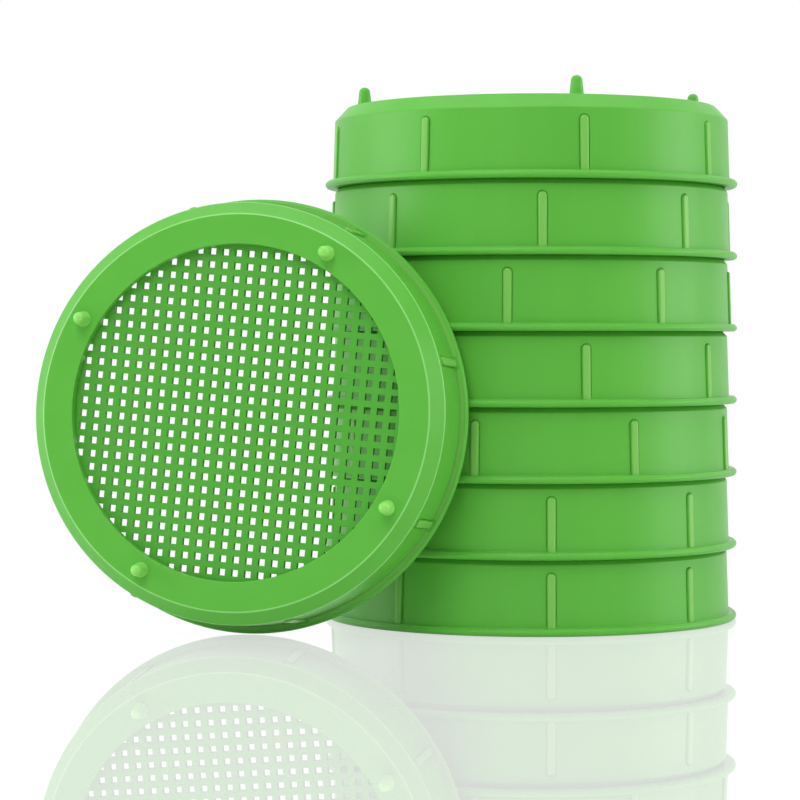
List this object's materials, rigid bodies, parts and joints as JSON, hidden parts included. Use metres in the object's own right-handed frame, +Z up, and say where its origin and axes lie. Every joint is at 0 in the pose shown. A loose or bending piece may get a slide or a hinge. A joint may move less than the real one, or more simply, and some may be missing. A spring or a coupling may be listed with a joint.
{
  "type": "jar strainer lid set",
  "caption": "Set of moulded screw-on strainer lids for wide-mouth jars, each a pegged ring round a square mesh disc, nested in a stack with one lid leaning on it.",
  "frame": {"origin": "centre of the bottom lid's mouth, on the stack's axis at the surface the set stands on", "axes": "+Z up along the stack's axis; +X to the right along the set's long side, away from the leaning lid; +Y to the back, away from the leaning lid's face"},
  "size_m": [0.1584, 0.1156, 0.123],
  "materials": {
    "ring_plastic": "satin moulded",
    "mesh_plastic": "satin moulded"
  },
  "bodies": {
    "lid_1": {"ring_1": "ring_plastic", "mesh_1": "mesh_plastic"},
    "lid_2": {"ring_2": "ring_plastic", "mesh_2": "mesh_plastic"},
    "lid_3": {"ring_3": "ring_plastic", "mesh_3": "mesh_plastic"},
    "lid_4": {"ring_4": "ring_plastic", "mesh_4": "mesh_plastic"},
    "lid_5": {"ring_5": "ring_plastic", "mesh_5": "mesh_plastic"},
    "lid_6": {"ring_6": "ring_plastic", "mesh_6": "mesh_plastic"},
    "lid_7": {"ring_7": "ring_plastic", "mesh_7": "mesh_plastic"},
    "loose_lid": {"loose_ring": "ring_plastic", "loose_mesh": "mesh_plastic"}
  },
  "joints": [
    {"name": "lift_2", "type": "slide", "parent": "lid_1", "child": "lid_2", "axis": [0, 0, 1], "range_m": [0, 0.035]},
    {"name": "lift_3", "type": "slide", "parent": "lid_2", "child": "lid_3", "axis": [0, 0, 1], "range_m": [0, 0.035]},
    {"name": "lift_4", "type": "slide", "parent": "lid_3", "child": "lid_4", "axis": [0, 0, 1], "range_m": [0, 0.035]},
    {"name": "lift_5", "type": "slide", "parent": "lid_4", "child": "lid_5", "axis": [0, 0, 1], "range_m": [0, 0.035]},
    {"name": "lift_6", "type": "slide", "parent": "lid_5", "child": "lid_6", "axis": [0, 0, 1], "range_m": [0, 0.035]},
    {"name": "lift_7", "type": "slide", "parent": "lid_6", "child": "lid_7", "axis": [0, 0, 1], "range_m": [0, 0.035]},
    {"name": "take_loose_lid", "type": "slide", "parent": "lid_1", "child": "loose_lid", "axis": [0, 0, 1], "range_m": [0, 0.1]}
  ]
}
